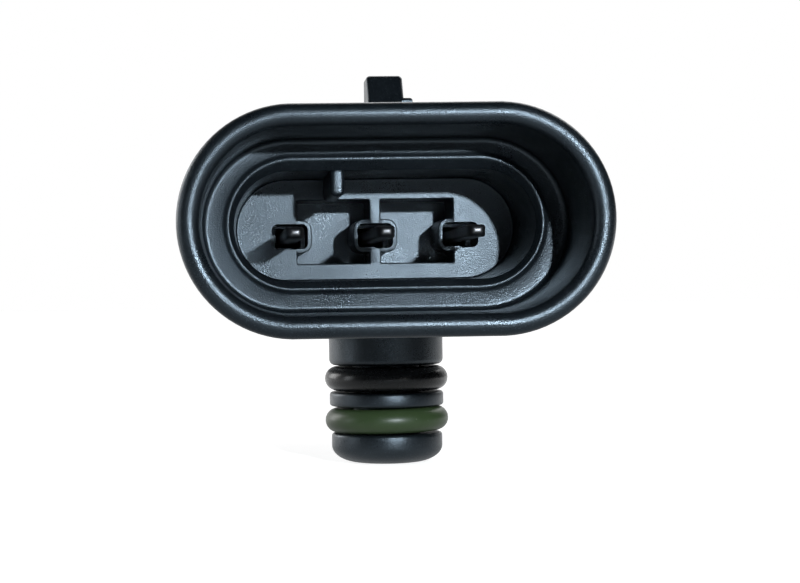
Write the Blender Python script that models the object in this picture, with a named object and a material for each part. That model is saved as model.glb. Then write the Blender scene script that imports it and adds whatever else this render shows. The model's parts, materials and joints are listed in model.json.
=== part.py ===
"""Manifold absolute pressure sensor with an obround three-way header and a spigot port.

Metres, +Z up. The origin is on the port's axis, in the plane of the seat that rests on the manifold.
The header opens towards -Y, the port points down and the mounting ear points towards +Y.
The shapes are laid out about the header's middle plane. The port stands to one side of that plane,
so each piece is placed as far to the other side, which brings the port's axis to the origin.
"""

import math

import bmesh
import bpy
from mathutils import Matrix, Vector

# Fits
SEAT_GAP = 0.0003
RING_SIDE_GAP = 0.0001

# Header shell, an obround tube with a rolled rim
RIM_WIDTH = 0.0270
RIM_HEIGHT = 0.0144
RIM_THICKNESS = 0.0014
RIM_ROLL_DEPTH = 0.0008
RIM_BACK_LENGTH = 0.0007
RIM_STEP = 0.0004
RIM_REACH = 0.0222
SHELL_DRAFT = 0.0002
GAP_FLOOR_DEPTH = 0.0083
SHELL_TAIL = 0.0019

# Collar, a low ridge that stands on the gap floor round the mouth
COLLAR_SIDE_SPACE = 0.0017
COLLAR_TOP_SPACE = 0.00148
COLLAR_RISE = 0.0001
COLLAR_SETBACK = 0.0063
COLLAR_LIP = 0.0005
COLLAR_EDGE_RADIUS = 0.00018
COLLAR_FLARE = 0.00015
CONTACT_FLOOR_DEPTH = 0.0163
COLLAR_INNER_DRAFT = 0.0002

# Key rib under the collar's upper wall
KEY_OFFSET = -0.0031
KEY_WIDTH = 0.0009
KEY_DROP = 0.0022
KEY_SETBACK = 0.0003

# Contacts, their wells and the core-outs between them
CONTACT_PITCH = 0.00595
CONTACT_DROP = 0.00055
CONTACT_WIDTH = 0.0012
CONTACT_THICKNESS = 0.0008
CONTACT_REACH = 0.0085
CONTACT_TAPER = 0.0007
CONTACT_TAIL = 0.0018
CONTACT_FOOT = 0.0013
CONTACT_BEND_RADIUS = 0.0006
WELL_WIDTH = 0.0026
WELL_HEIGHT = 0.00185
WELL_DEPTH = 0.0040
WELL_WALL = 0.0003
WELL_CORNER = 0.00045
CORE_MARGIN = 0.00163
CORE_DROP = 0.00025
CORE_DEPTH = 0.0045
CORE_RIB = 0.0008
CORE_OVERLAP = 0.0005

# Latch ramp on top of the shell
LATCH_WIDTH = 0.00257
LATCH_HEIGHT = 0.00275
LATCH_SETBACK = 0.0079
LATCH_RAMP = 0.0020
LATCH_TOP_LENGTH = 0.0018
LATCH_ROUND = 0.00025
LATCH_FOOT_WIDTH = 0.0007
LATCH_FOOT_HEIGHT = 0.00022

# Port spigot
PORT_OFFSET = 0.00115
PORT_RADIUS = 0.00414
NOSE_RADIUS = 0.00402
PORT_LENGTH = 0.0095
PORT_BORE_RADIUS = 0.0014
PORT_EDGE = 0.0004
NOSE_ROUND_OUT = 0.0020
NOSE_ROUND_UP = 0.0012
GROOVE_RADIUS = 0.00242
UPPER_RING_DEPTH = 0.00341
RING_SPACING = 0.00298
RING_CORD = 0.00175
LOWER_RING_TILT = math.radians(1.2)

# Body box, lid and pressure channel
BODY_TOP_DROP = 0.0004
BODY_LIFT = 0.0020
PAD_SETBACK = 0.0003
BODY_CORNER = 0.0030
BODY_WALL = 0.0020
CHAMBER_FRONT_WALL = 0.0010
CHAMBER_SIDE_SPACE = 0.00155
CONTACTS_OVER_FLOOR = 0.00335
REAR_WALL = 0.0016
REBATE_LEDGE = 0.0012
COVER_THICKNESS = 0.0016
ADHESIVE_THICKNESS = 0.0003
CHANNEL_RADIUS = 0.0009
OUTLET_RADIUS = 0.0010

# Mounting ear
EAR_RADIUS = 0.0075
EAR_THICKNESS = 0.0050
EAR_REACH = 0.0080
EAR_RIB_THICKNESS = 0.0014
EAR_RIB_HEIGHT = 0.0060
EAR_RIB_LENGTH = 0.0030
LIMITER_RADIUS = 0.0045
LIMITER_WALL = 0.0013
LIMITER_EDGE = 0.0003

# Board and what it carries
BOARD_THICKNESS = 0.0010
BOARD_REST = 0.0004
BOARD_REST_WIDTH = 0.0009
GASKET_WALL = 0.0011
SOLDER_THICKNESS = 0.0002
SOLDER_MARGIN = 0.00025
POTTING_THICKNESS = 0.0012
POTTING_MARGIN = 0.0008
FRAME_SIDE = 0.0062
FRAME_WALL = 0.0006
FRAME_HEIGHT = 0.0024
FOOT_TO_FRAME = 0.0012
PEDESTAL_SIDE = 0.0028
PEDESTAL_HEIGHT = 0.0012
PEDESTAL_HOLE_RADIUS = 0.0005
DIE_SIDE = 0.0024
DIE_HEIGHT = 0.0004
GEL_HEIGHT = 0.0021
CHIP_SIZE = (0.0040, 0.0050, 0.0015)
CHIP_EDGE = 0.0002
PART_EDGE = 0.00008
CAPACITOR_SIZE = (0.0010, 0.0018, 0.0008)
CAPACITOR_SPACING = (0.0024, 0.0030)
RESISTOR_SIZE = (0.0016, 0.0008, 0.0005)
PARTS_TO_FRAME = 0.0009

# Facets
END_STEPS = 24
ROUND_STEPS = 48
ROLL_STEPS = 5
BEND_STEPS = 5
CORD_STEPS = 14

# Places worked out from the sizes
AXIS_Z = RIM_HEIGHT / 2
OPENING_WIDTH = RIM_WIDTH - 2 * RIM_THICKNESS
OPENING_HEIGHT = RIM_HEIGHT - 2 * RIM_THICKNESS
COLLAR_WIDTH = OPENING_WIDTH - 2 * COLLAR_SIDE_SPACE
COLLAR_HEIGHT = OPENING_HEIGHT - 2 * COLLAR_TOP_SPACE
COLLAR_MOUTH_WIDTH = COLLAR_WIDTH - 2 * COLLAR_LIP
COLLAR_MOUTH_HEIGHT = COLLAR_HEIGHT - 2 * COLLAR_LIP
COLLAR_Z = AXIS_Z + COLLAR_RISE
CORE_HEIGHT = COLLAR_MOUTH_HEIGHT - 2 * CORE_MARGIN
CORE_Z = COLLAR_Z - CORE_DROP
CONTACT_Z = COLLAR_Z - CONTACT_DROP
RIM_FRONT = -RIM_REACH
RIM_WIDEST = RIM_FRONT + RIM_ROLL_DEPTH
GAP_FLOOR = RIM_FRONT + GAP_FLOOR_DEPTH
COLLAR_FRONT = RIM_FRONT + COLLAR_SETBACK
CONTACT_FLOOR = RIM_FRONT + CONTACT_FLOOR_DEPTH
CONTACT_TIP = CONTACT_FLOOR - CONTACT_REACH
SHELL_BACK = CONTACT_FLOOR + SHELL_TAIL
BODY_FRONT = CONTACT_FLOOR + SHELL_TAIL / 2
PAD_FRONT = BODY_FRONT + PAD_SETBACK
BODY_TOP = RIM_HEIGHT - BODY_TOP_DROP
CHAMBER_FRONT = CONTACT_FLOOR + max(CORE_DEPTH, WELL_DEPTH) + CHAMBER_FRONT_WALL
CHAMBER_FLOOR = CONTACT_Z - CONTACTS_OVER_FLOOR
BOARD_Z = CHAMBER_FLOOR + BOARD_REST
BOARD_TOP = BOARD_Z + BOARD_THICKNESS
CONTACT_FOOT_Z = BOARD_TOP + SOLDER_THICKNESS + CONTACT_THICKNESS / 2
BEND_RADIUS = min(CONTACT_BEND_RADIUS, (CONTACT_Z - CONTACT_FOOT_Z) / 2)
BEND_START = CHAMBER_FRONT + CONTACT_TAIL
FOOT_START = BEND_START + 2 * BEND_RADIUS
FOOT_END = FOOT_START + CONTACT_FOOT
SENSE_Y = FOOT_END + FOOT_TO_FRAME + FRAME_SIDE / 2
CHAMBER_BACK = SENSE_Y + FRAME_SIDE / 2 + FRAME_WALL + SEAT_GAP
SEAL_HALF = CONTACT_PITCH + CONTACT_WIDTH / 2 + SEAT_GAP + POTTING_MARGIN
CHAMBER_HALF = SEAL_HALF + CHAMBER_SIDE_SPACE
BODY_HALF = CHAMBER_HALF + BODY_WALL
BODY_BACK = CHAMBER_BACK + REAR_WALL
REBATE_Z = BODY_TOP - COVER_THICKNESS - ADHESIVE_THICKNESS
EAR_CENTRE = BODY_BACK + EAR_REACH
CHANNEL_Z = CHAMBER_FLOOR / 2
UPPER_RING_Z = -UPPER_RING_DEPTH
LOWER_RING_Z = UPPER_RING_Z - RING_SPACING
RING_RADIUS = GROOVE_RADIUS + SEAT_GAP + RING_CORD / 2
GROOVE_HALF = RING_CORD / 2 + RING_SIDE_GAP
PORT_AXIS = Vector((PORT_OFFSET, 0.0, 0.0))
CONTACT_COLUMNS = (("left", -CONTACT_PITCH), ("middle", 0.0), ("right", CONTACT_PITCH))


def clear_scene():
    """Remove whatever the file holds."""
    for item in list(bpy.data.objects):
        bpy.data.objects.remove(item, do_unlink=True)


def material(name, colour, roughness, metallic=0.0, alpha=1.0):
    """A Principled material with the piece's plain colour."""
    made = bpy.data.materials.new(name)
    made.use_nodes = True
    shader = made.node_tree.nodes["Principled BSDF"]
    shader.inputs["Base Color"].default_value = (*colour, 1.0)
    shader.inputs["Roughness"].default_value = roughness
    shader.inputs["Metallic"].default_value = metallic
    shader.inputs["Alpha"].default_value = alpha
    made.diffuse_color = (*colour, alpha)
    return made


def place(name, shape, finish=None, location=(0.0, 0.0, 0.0)):
    """Turn a bmesh into a named object with its faces pointing out."""
    bmesh.ops.recalc_face_normals(shape, faces=shape.faces)
    mesh = bpy.data.meshes.new(name)
    shape.to_mesh(mesh)
    shape.free()
    mesh.shade_smooth()
    mesh.set_sharp_from_angle(angle=math.radians(32))
    made = bpy.data.objects.new(name, mesh)
    made.location = Vector(location) - PORT_AXIS
    if finish:
        mesh.materials.append(finish)
    bpy.context.scene.collection.objects.link(made)
    return made


def combine(target, other, operation):
    """Join, cut or keep the common part with an exact Boolean, and hide the guide."""
    other.hide_render = True
    other.display_type = "WIRE"
    modifier = target.modifiers.new(other.name, "BOOLEAN")
    modifier.operation = operation
    modifier.solver = "EXACT"
    modifier.object = other


def obround(shape, y, width, height, centre_z, steps=END_STEPS):
    """A ring of vertices in a plane across Y: two half circles and the straight runs between them."""
    radius = height / 2
    half_run = max(width - height, 0.0) / 2
    ring = []
    for side in (1, -1):
        for step in range(steps + 1):
            angle = math.pi * step / steps - math.pi / 2
            x = side * (half_run + radius * math.cos(angle))
            z = centre_z + side * radius * math.sin(angle)
            ring.append(shape.verts.new((x, y, z)))
    return ring


def loft(shape, rings):
    """Join each ring to the next with a band of faces and close both ends."""
    for first, second in zip(rings, rings[1:]):
        for i in range(len(first)):
            shape.faces.new((first[i - 1], first[i], second[i], second[i - 1]))
    shape.faces.new(rings[0])
    shape.faces.new(rings[-1])


def box(name, low, high, finish=None, corner=0.0, corner_axis=2, steps=4):
    """A block between two corners, with the edges along one axis rounded."""
    shape = bmesh.new()
    bmesh.ops.create_cube(shape, size=1.0)
    low, high = Vector(low), Vector(high)
    middle = (low + high) / 2
    bmesh.ops.scale(shape, vec=high - low, verts=shape.verts)
    bmesh.ops.translate(shape, vec=middle, verts=shape.verts)
    if corner > 0.0:
        along = [e for e in shape.edges if abs((e.verts[0].co - e.verts[1].co)[corner_axis]) > 1e-7]
        bmesh.ops.bevel(shape, geom=along, offset=corner, segments=steps, profile=0.5,
                        affect="EDGES", material=-1, clamp_overlap=True)
    return place(name, shape, finish)


def soft_box(name, low, high, finish, edge):
    """A block with every edge broken by a small chamfer."""
    shape = bmesh.new()
    bmesh.ops.create_cube(shape, size=1.0)
    low, high = Vector(low), Vector(high)
    bmesh.ops.scale(shape, vec=high - low, verts=shape.verts)
    bmesh.ops.translate(shape, vec=(low + high) / 2, verts=shape.verts)
    bmesh.ops.bevel(shape, geom=shape.edges[:], offset=edge, segments=1, profile=0.5,
                    affect="EDGES", material=-1, clamp_overlap=True)
    return place(name, shape, finish)


def turned(name, profile, finish=None, steps=ROUND_STEPS, centre=(0.0, 0.0), closed=False):
    """Spin (radius, height) points about a vertical axis; closed joins the last point to the first."""
    shape = bmesh.new()
    points = [shape.verts.new((centre[0] + r, centre[1], z)) for r, z in profile]
    pairs = list(zip(points, points[1:]))
    if closed:
        pairs.append((points[-1], points[0]))
    edges = [shape.edges.new(pair) for pair in pairs]
    bmesh.ops.spin(shape, geom=points + edges, cent=(centre[0], centre[1], 0.0), axis=(0.0, 0.0, 1.0),
                   angle=2 * math.pi, steps=steps, use_merge=True)
    bmesh.ops.remove_doubles(shape, verts=shape.verts, dist=1e-7)
    return place(name, shape, finish)


def rod(name, start, end, radius, steps=24):
    """A round bar between two points, used as a drill."""
    start, end = Vector(start), Vector(end)
    along = end - start
    shape = bmesh.new()
    turn = along.to_track_quat("Z", "Y").to_matrix().to_4x4()
    where = Matrix.Translation((start + end) / 2) @ turn
    bmesh.ops.create_cone(shape, cap_ends=True, segments=steps, radius1=radius, radius2=radius,
                          depth=along.length, matrix=where)
    return place(name, shape)


def header_shape():
    """Contact floor, collar, gap floor, shell wall and rolled rim, as one run of obround rings."""
    shape = bmesh.new()
    rings = []

    def add(y, width, height, centre_z):
        rings.append(obround(shape, y, width, height, centre_z))

    # Up the collar's inner wall from the contact floor
    draft = 2 * COLLAR_INNER_DRAFT
    add(CONTACT_FLOOR, COLLAR_MOUTH_WIDTH - draft, COLLAR_MOUTH_HEIGHT - draft, COLLAR_Z)
    add(COLLAR_FRONT + COLLAR_EDGE_RADIUS, COLLAR_MOUTH_WIDTH, COLLAR_MOUTH_HEIGHT, COLLAR_Z)

    # Over the collar's front edge, a half-round lip
    lip = COLLAR_LIP / 2
    for step in range(1, ROLL_STEPS):
        angle = math.pi * step / ROLL_STEPS
        out = 2 * (lip - lip * math.cos(angle))
        y = COLLAR_FRONT + COLLAR_EDGE_RADIUS * (1 - math.sin(angle))
        add(y, COLLAR_MOUTH_WIDTH + out, COLLAR_MOUTH_HEIGHT + out, COLLAR_Z)
    add(COLLAR_FRONT + COLLAR_EDGE_RADIUS, COLLAR_WIDTH, COLLAR_HEIGHT, COLLAR_Z)

    # Down the ridge's outside, across the gap floor
    flare = 2 * COLLAR_FLARE
    add(GAP_FLOOR, COLLAR_WIDTH + flare, COLLAR_HEIGHT + flare, COLLAR_Z)
    shell_draft = 2 * SHELL_DRAFT
    add(GAP_FLOOR, OPENING_WIDTH - shell_draft, OPENING_HEIGHT - shell_draft, AXIS_Z)
    add(RIM_WIDEST, OPENING_WIDTH, OPENING_HEIGHT, AXIS_Z)

    # Over the rolled rim
    roll = RIM_THICKNESS / 2
    for step in range(1, 2 * ROLL_STEPS):
        angle = math.pi * step / (2 * ROLL_STEPS)
        out = 2 * (roll - roll * math.cos(angle))
        y = RIM_WIDEST - RIM_ROLL_DEPTH * math.sin(angle)
        add(y, OPENING_WIDTH + out, OPENING_HEIGHT + out, AXIS_Z)
    add(RIM_WIDEST, RIM_WIDTH, RIM_HEIGHT, AXIS_Z)
    add(RIM_WIDEST + RIM_BACK_LENGTH, RIM_WIDTH, RIM_HEIGHT, AXIS_Z)

    # Step down to the shell's outer wall and run back into the body
    step_down = 2 * RIM_STEP
    add(RIM_WIDEST + RIM_BACK_LENGTH + RIM_STEP, RIM_WIDTH - step_down, RIM_HEIGHT - step_down, AXIS_Z)
    add(SHELL_BACK, RIM_WIDTH - step_down, RIM_HEIGHT - step_down, AXIS_Z)
    loft(shape, rings)
    return shape


def port_profile():
    """Radius and height of the spigot, from inside the body's floor down to the nose."""
    root = CHANNEL_Z / 2
    profile = [(0.0, root), (PORT_RADIUS, root)]
    upper_wall = UPPER_RING_Z + GROOVE_HALF
    profile += [(PORT_RADIUS, upper_wall + PORT_EDGE), (PORT_RADIUS - PORT_EDGE, upper_wall),
                (GROOVE_RADIUS, upper_wall)]
    land_top = UPPER_RING_Z - GROOVE_HALF
    land_bottom = LOWER_RING_Z + GROOVE_HALF
    edge = PORT_EDGE / 2
    profile += [(GROOVE_RADIUS, land_top), (PORT_RADIUS - edge, land_top), (PORT_RADIUS, land_top - edge),
                (PORT_RADIUS, land_bottom + edge), (PORT_RADIUS - edge, land_bottom),
                (GROOVE_RADIUS, land_bottom)]
    nose_top = LOWER_RING_Z - GROOVE_HALF
    profile += [(GROOVE_RADIUS, nose_top), (NOSE_RADIUS - edge, nose_top), (NOSE_RADIUS, nose_top - edge)]
    for step in range(ROLL_STEPS + 2):
        angle = math.pi / 2 * step / (ROLL_STEPS + 1)
        r = NOSE_RADIUS - NOSE_ROUND_OUT * (1 - math.cos(angle))
        z = -PORT_LENGTH + NOSE_ROUND_UP * (1 - math.sin(angle))
        profile.append((r, z))
    profile.append((0.0, -PORT_LENGTH))
    return profile


def latch_shape():
    """Lock ramp: it rises from the front, runs level and drops square at the catch."""
    root = RIM_HEIGHT - RIM_STEP - RIM_THICKNESS / 2
    top = RIM_HEIGHT + LATCH_HEIGHT
    front = RIM_FRONT + LATCH_SETBACK
    outline = [(front, root), (front, RIM_HEIGHT - RIM_STEP),
               (front + LATCH_RAMP, top),
               (front + LATCH_RAMP + LATCH_TOP_LENGTH, top),
               (front + LATCH_RAMP + LATCH_TOP_LENGTH, root)]
    shape = bmesh.new()
    side = [shape.verts.new((-LATCH_WIDTH / 2, y, z)) for y, z in outline]
    face = shape.faces.new(side)
    made = bmesh.ops.extrude_face_region(shape, geom=[face])
    moved = [v for v in made["geom"] if isinstance(v, bmesh.types.BMVert)]
    bmesh.ops.translate(shape, vec=(LATCH_WIDTH, 0.0, 0.0), verts=moved)
    upper = [e for e in shape.edges if min(v.co.z for v in e.verts) > RIM_HEIGHT - RIM_STEP - 1e-6
             and (e.verts[0].co - e.verts[1].co).cross(Vector((1, 0, 0))).length > 1e-7]
    bmesh.ops.bevel(shape, geom=upper, offset=LATCH_ROUND, segments=3, profile=0.5, affect="EDGES",
                    material=-1, clamp_overlap=True)
    return shape


def ear_shape():
    """Plate with a round end: the seat pad under the body, and the ear behind it."""
    shape = bmesh.new()
    outline = [(-EAR_RADIUS, PAD_FRONT)]
    for step in range(END_STEPS + 1):
        angle = math.pi - math.pi * step / END_STEPS
        outline.append((EAR_RADIUS * math.cos(angle), EAR_CENTRE + EAR_RADIUS * math.sin(angle)))
    outline.append((EAR_RADIUS, PAD_FRONT))
    face = shape.faces.new([shape.verts.new((x, y, 0.0)) for x, y in outline])
    made = bmesh.ops.extrude_face_region(shape, geom=[face])
    moved = [v for v in made["geom"] if isinstance(v, bmesh.types.BMVert)]
    bmesh.ops.translate(shape, vec=(0.0, 0.0, EAR_THICKNESS), verts=moved)
    return shape


def ear_rib_shape(side):
    """Gusset between the body's back wall and the ear."""
    outer = side * EAR_RADIUS
    inner = side * (EAR_RADIUS - EAR_RIB_THICKNESS)
    start = BODY_BACK - REAR_WALL / 2
    foot = EAR_THICKNESS / 2
    outline = [(start, foot), (BODY_BACK + EAR_RIB_LENGTH, foot),
               (BODY_BACK + EAR_RIB_LENGTH, EAR_THICKNESS),
               (BODY_BACK, EAR_THICKNESS + EAR_RIB_HEIGHT), (start, EAR_THICKNESS + EAR_RIB_HEIGHT)]
    shape = bmesh.new()
    face = shape.faces.new([shape.verts.new((inner, y, z)) for y, z in outline])
    made = bmesh.ops.extrude_face_region(shape, geom=[face])
    moved = [v for v in made["geom"] if isinstance(v, bmesh.types.BMVert)]
    bmesh.ops.translate(shape, vec=(outer - inner, 0.0, 0.0), verts=moved)
    return shape


def add_body_forms(housing):
    """Body box, port, ear and latch, joined to the header."""
    body = box("guide_body", (-BODY_HALF, BODY_FRONT, BODY_LIFT), (BODY_HALF, BODY_BACK, BODY_TOP),
               corner=BODY_CORNER, steps=5)
    combine(housing, body, "UNION")
    combine(housing, turned("guide_port", port_profile(), centre=PORT_AXIS.xy), "UNION")
    combine(housing, place("guide_ear", ear_shape()), "UNION")
    for side in (-1, 1):
        combine(housing, place(f"guide_ear_rib_{side}", ear_rib_shape(side)), "UNION")
    combine(housing, place("guide_latch", latch_shape()), "UNION")
    foot_low = RIM_HEIGHT - RIM_STEP - RIM_THICKNESS / 2
    foot_front = RIM_FRONT + LATCH_SETBACK + LATCH_RAMP / 2
    foot_back = RIM_FRONT + LATCH_SETBACK + LATCH_RAMP + LATCH_TOP_LENGTH / 2
    foot_right = LATCH_WIDTH / 2 + LATCH_FOOT_WIDTH
    foot_top = RIM_HEIGHT + LATCH_FOOT_HEIGHT
    combine(housing, box("guide_latch_foot", (0.0, foot_front, foot_low), (foot_right, foot_back, foot_top)),
            "UNION")


def add_contact_floor(housing):
    """Key rib, core-outs, the tubes that stand in them, and the wells and slots for the contacts."""
    key_top = COLLAR_Z + COLLAR_MOUTH_HEIGHT / 2 + COLLAR_LIP / 2
    key_low = COLLAR_Z + COLLAR_MOUTH_HEIGHT / 2 - KEY_DROP
    key = box("guide_key", (KEY_OFFSET - KEY_WIDTH / 2, COLLAR_FRONT + KEY_SETBACK, key_low),
              (KEY_OFFSET + KEY_WIDTH / 2, CONTACT_FLOOR + COLLAR_LIP, key_top),
              corner=KEY_WIDTH * 0.35, corner_axis=1, steps=3)
    combine(housing, key, "UNION")

    # Two core-outs, each from the centre rib to just under the outer contact
    core_outer = CONTACT_PITCH - CORE_OVERLAP
    for side in (-1, 1):
        xs = sorted((side * CORE_RIB / 2, side * core_outer))
        core = box(f"guide_core_{side}", (xs[0], CONTACT_FLOOR - SEAT_GAP, CORE_Z - CORE_HEIGHT / 2),
                   (xs[1], CONTACT_FLOOR + CORE_DEPTH, CORE_Z + CORE_HEIGHT / 2))
        combine(housing, core, "DIFFERENCE")

    tube_half = (WELL_WIDTH / 2 + WELL_WALL, WELL_HEIGHT / 2 + WELL_WALL)
    slot_half = (CONTACT_WIDTH / 2 + SEAT_GAP, CONTACT_THICKNESS / 2 + SEAT_GAP)
    for label, x in CONTACT_COLUMNS:
        tube = box(f"guide_tube_{label}", (x - tube_half[0], CONTACT_FLOOR, CONTACT_Z - tube_half[1]),
                   (x + tube_half[0], CHAMBER_FRONT - CHAMBER_FRONT_WALL / 2, CONTACT_Z + tube_half[1]),
                   corner=WELL_CORNER + WELL_WALL, corner_axis=1)
        combine(housing, tube, "UNION")
    for label, x in CONTACT_COLUMNS:
        well = box(f"guide_well_{label}",
                   (x - WELL_WIDTH / 2, CONTACT_FLOOR - SEAT_GAP, CONTACT_Z - WELL_HEIGHT / 2),
                   (x + WELL_WIDTH / 2, CONTACT_FLOOR + WELL_DEPTH, CONTACT_Z + WELL_HEIGHT / 2),
                   corner=WELL_CORNER, corner_axis=1)
        combine(housing, well, "DIFFERENCE")
        slot = box(f"guide_slot_{label}", (x - slot_half[0], CONTACT_FLOOR, CONTACT_Z - slot_half[1]),
                   (x + slot_half[0], CHAMBER_FRONT + SEAT_GAP, CONTACT_Z + slot_half[1]))
        combine(housing, slot, "DIFFERENCE")


def add_chamber(housing):
    """Electronics chamber with its lid rebate, board rests and the pressure channel from the port."""
    chamber = box("guide_chamber", (-CHAMBER_HALF, CHAMBER_FRONT, CHAMBER_FLOOR),
                  (CHAMBER_HALF, CHAMBER_BACK, BODY_TOP + SEAT_GAP), corner=BODY_CORNER - BODY_WALL)
    combine(housing, chamber, "DIFFERENCE")
    ledge = REBATE_LEDGE
    rebate = box("guide_rebate", (-CHAMBER_HALF - ledge, CHAMBER_FRONT - ledge, REBATE_Z),
                 (CHAMBER_HALF + ledge, CHAMBER_BACK + ledge, BODY_TOP + SEAT_GAP),
                 corner=BODY_CORNER - BODY_WALL + ledge)
    combine(housing, rebate, "DIFFERENCE")
    inner = CHAMBER_HALF - BOARD_REST_WIDTH
    for side in (-1, 1):
        xs = sorted((side * inner, side * (CHAMBER_HALF + BODY_WALL / 2)))
        rest = box(f"guide_rest_{side}", (xs[0], CHAMBER_FRONT + BODY_CORNER, CHAMBER_FLOOR - SEAT_GAP),
                   (xs[1], CHAMBER_BACK - BODY_CORNER, BOARD_Z))
        combine(housing, rest, "UNION")
    bore_low = PORT_AXIS + Vector((0.0, 0.0, -PORT_LENGTH - SEAT_GAP))
    bore_top = PORT_AXIS + Vector((0.0, 0.0, CHANNEL_Z + CHANNEL_RADIUS / 2))
    combine(housing, rod("guide_port_bore", bore_low, bore_top, PORT_BORE_RADIUS), "DIFFERENCE")
    channel_start = PORT_AXIS + Vector((0.0, 0.0, CHANNEL_Z))
    combine(housing, rod("guide_channel", channel_start, (0.0, SENSE_Y, CHANNEL_Z), CHANNEL_RADIUS),
            "DIFFERENCE")
    combine(housing, rod("guide_outlet", (0.0, SENSE_Y, CHANNEL_Z),
                         (0.0, SENSE_Y, CHAMBER_FLOOR + SEAT_GAP), OUTLET_RADIUS), "DIFFERENCE")
    combine(housing, rod("guide_ear_hole", (0.0, EAR_CENTRE, -SEAT_GAP),
                         (0.0, EAR_CENTRE, EAR_THICKNESS + SEAT_GAP), LIMITER_RADIUS + SEAT_GAP, steps=36),
            "DIFFERENCE")


def build_housing(finish):
    """The one-piece moulding."""
    housing = place("housing", header_shape(), finish)
    add_body_forms(housing)
    add_contact_floor(housing)
    add_chamber(housing)


def build_ring(name, height, tilt, finish):
    """An O-ring round the port."""
    shape = bmesh.new()
    circle = [shape.verts.new((RING_RADIUS + RING_CORD / 2 * math.cos(a), 0.0, RING_CORD / 2 * math.sin(a)))
              for a in (2 * math.pi * step / CORD_STEPS for step in range(CORD_STEPS))]
    edges = [shape.edges.new((circle[i - 1], circle[i])) for i in range(len(circle))]
    bmesh.ops.spin(shape, geom=circle + edges, cent=(0.0, 0.0, 0.0), axis=(0.0, 0.0, 1.0),
                   angle=2 * math.pi, steps=ROUND_STEPS, use_merge=True)
    ring = place(name, shape, finish, location=PORT_AXIS + Vector((0.0, 0.0, height)))
    ring.rotation_euler = (0.0, -tilt, 0.0)


def contact_path():
    """Centre line of a contact in its own Y-Z plane, from the tip to the foot on the board."""
    route = [(CONTACT_TIP, CONTACT_Z, 0.0)]
    for step in range(BEND_STEPS + 1):
        angle = math.pi / 2 * step / BEND_STEPS
        y = BEND_START + BEND_RADIUS * math.sin(angle)
        route.append((y, CONTACT_Z - BEND_RADIUS * (1 - math.cos(angle)), angle))
    for step in range(BEND_STEPS + 1):
        angle = math.pi / 2 * (1 - step / BEND_STEPS)
        y = FOOT_START - BEND_RADIUS * math.sin(angle)
        route.append((y, CONTACT_FOOT_Z + BEND_RADIUS * (1 - math.cos(angle)), angle))
    route.append((FOOT_END, CONTACT_FOOT_Z, 0.0))
    return route


def build_contact(label, x, finish):
    """A blade contact swept along its centre line, with a tapered tip."""
    shape = bmesh.new()
    half_w = CONTACT_WIDTH / 2
    half_t = CONTACT_THICKNESS / 2
    route = contact_path()
    tip_y = route[0][0]
    stations = [(tip_y, CONTACT_Z, 0.0, 0.50), (tip_y + CONTACT_TAPER * 0.3, CONTACT_Z, 0.0, 0.76),
                (tip_y + CONTACT_TAPER, CONTACT_Z, 0.0, 1.0)]
    stations += [(*point, 1.0) for point in route[1:]]
    rings = []
    for y, z, angle, scale in stations:
        up_y = math.sin(angle)
        up_z = math.cos(angle)
        ring = []
        for across, up in ((-1, -1), (1, -1), (1, 1), (-1, 1)):
            lift = up * half_t * scale
            ring.append(shape.verts.new((x + across * half_w * scale, y + lift * up_y, z + lift * up_z)))
        rings.append(ring)
    loft(shape, rings)
    place(f"terminal_{label}", shape, finish)


def build_cover(finish, adhesive):
    """Lid flush with the body's top, on a bead of adhesive."""
    reach = REBATE_LEDGE - SEAT_GAP
    low = (-CHAMBER_HALF - reach, CHAMBER_FRONT - reach)
    high = (CHAMBER_HALF + reach, CHAMBER_BACK + reach)
    corner = BODY_CORNER - BODY_WALL + reach
    lid_z = REBATE_Z + ADHESIVE_THICKNESS
    box("cover", (*low, lid_z), (*high, lid_z + COVER_THICKNESS), finish, corner=corner)
    bead = box("cover_adhesive", (*low, REBATE_Z), (*high, lid_z), adhesive, corner=corner)
    hollow = box("guide_bead", (-CHAMBER_HALF, CHAMBER_FRONT, REBATE_Z - SEAT_GAP),
                 (CHAMBER_HALF, CHAMBER_BACK, lid_z + SEAT_GAP), corner=BODY_CORNER - BODY_WALL)
    combine(bead, hollow, "DIFFERENCE")


def build_limiter(finish):
    """Steel sleeve that takes the bolt's load through the ear."""
    outer = LIMITER_RADIUS
    inner = LIMITER_RADIUS - LIMITER_WALL
    edge = LIMITER_EDGE
    profile = [(inner, edge), (inner + edge, 0.0), (outer - edge, 0.0), (outer, edge),
               (outer, EAR_THICKNESS - edge), (outer - edge, EAR_THICKNESS),
               (inner + edge, EAR_THICKNESS), (inner, EAR_THICKNESS - edge)]
    turned("compression_limiter", profile, finish, steps=36, centre=(0.0, EAR_CENTRE), closed=True)


def build_potting(finish):
    """Potting across the chamber's front wall, with the contacts passing through."""
    half_z = CONTACT_THICKNESS / 2 + SEAT_GAP + POTTING_MARGIN
    front = CHAMBER_FRONT + SEAT_GAP
    seal = box("terminal_seal", (-SEAL_HALF, front, CONTACT_Z - half_z),
               (SEAL_HALF, front + POTTING_THICKNESS, CONTACT_Z + half_z), finish,
               corner=POTTING_MARGIN / 2, corner_axis=1, steps=3)
    for label, x in CONTACT_COLUMNS:
        reach_x = CONTACT_WIDTH / 2 + SEAT_GAP
        reach_z = CONTACT_THICKNESS / 2 + SEAT_GAP
        hole = box(f"guide_seal_{label}", (x - reach_x, front - SEAT_GAP, CONTACT_Z - reach_z),
                   (x + reach_x, front + POTTING_THICKNESS + SEAT_GAP, CONTACT_Z + reach_z))
        combine(seal, hole, "DIFFERENCE")


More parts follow.
